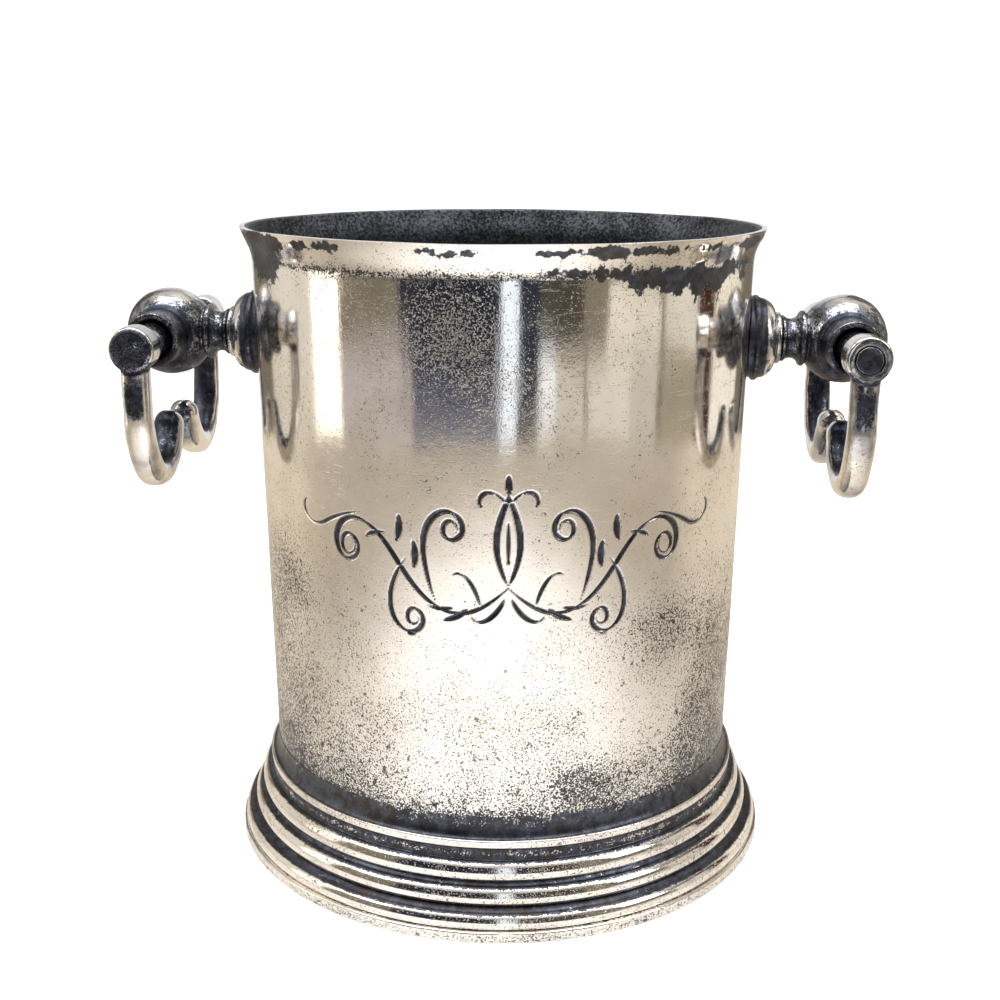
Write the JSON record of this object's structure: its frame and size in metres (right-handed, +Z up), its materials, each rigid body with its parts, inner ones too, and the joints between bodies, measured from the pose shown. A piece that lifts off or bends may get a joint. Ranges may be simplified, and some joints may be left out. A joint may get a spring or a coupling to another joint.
{
  "type": "champagne bucket",
  "caption": "Tapered silver champagne bucket with a flared rim, a reeded foot and swinging drop-loop handles on ball-ended side posts.",
  "frame": {"origin": "centre of the bucket's base, on the surface it stands on", "axes": "+Z up, +X through the right-hand handle post, -Y towards the front"},
  "size_m": [0.28, 0.2038, 0.23],
  "materials": {
    "bucket_silver": "polished by hand, with small dark casting pits and faint warm patina",
    "foot_silver": "polished reeds with dark patina left in the grooves",
    "handle_silver": "polished casting with pits and dark patina in the recesses",
    "steel_fixing": "plain turned steel",
    "rubber_seal": "matt black"
  },
  "bodies": {
    "bucket": {"bucket_wall": "bucket_silver", "floor_plate": "bucket_silver", "foot_ring": "foot_silver", "left_rosette": "handle_silver", "left_knuckle": "handle_silver", "left_sealing_washer": "rubber_seal", "left_washer": "steel_fixing", "left_fixing_bolt": "steel_fixing", "right_rosette": "handle_silver", "right_knuckle": "handle_silver", "right_sealing_washer": "rubber_seal", "right_washer": "steel_fixing", "right_fixing_bolt": "steel_fixing"},
    "left_handle": {"left_pivot_pin": "handle_silver", "left_front_loop": "handle_silver", "left_rear_loop": "handle_silver"},
    "right_handle": {"right_pivot_pin": "handle_silver", "right_front_loop": "handle_silver", "right_rear_loop": "handle_silver"}
  },
  "joints": [
    {"name": "left_handle_swing", "type": "hinge", "parent": "bucket", "child": "left_handle", "pos_m": [-0.124, 0, 0.1895], "axis": [0, 1, 0], "range_deg": [-40, 212]},
    {"name": "right_handle_swing", "type": "hinge", "parent": "bucket", "child": "right_handle", "pos_m": [0.124, 0, 0.1895], "axis": [0, -1, 0], "range_deg": [-40, 212]}
  ]
}
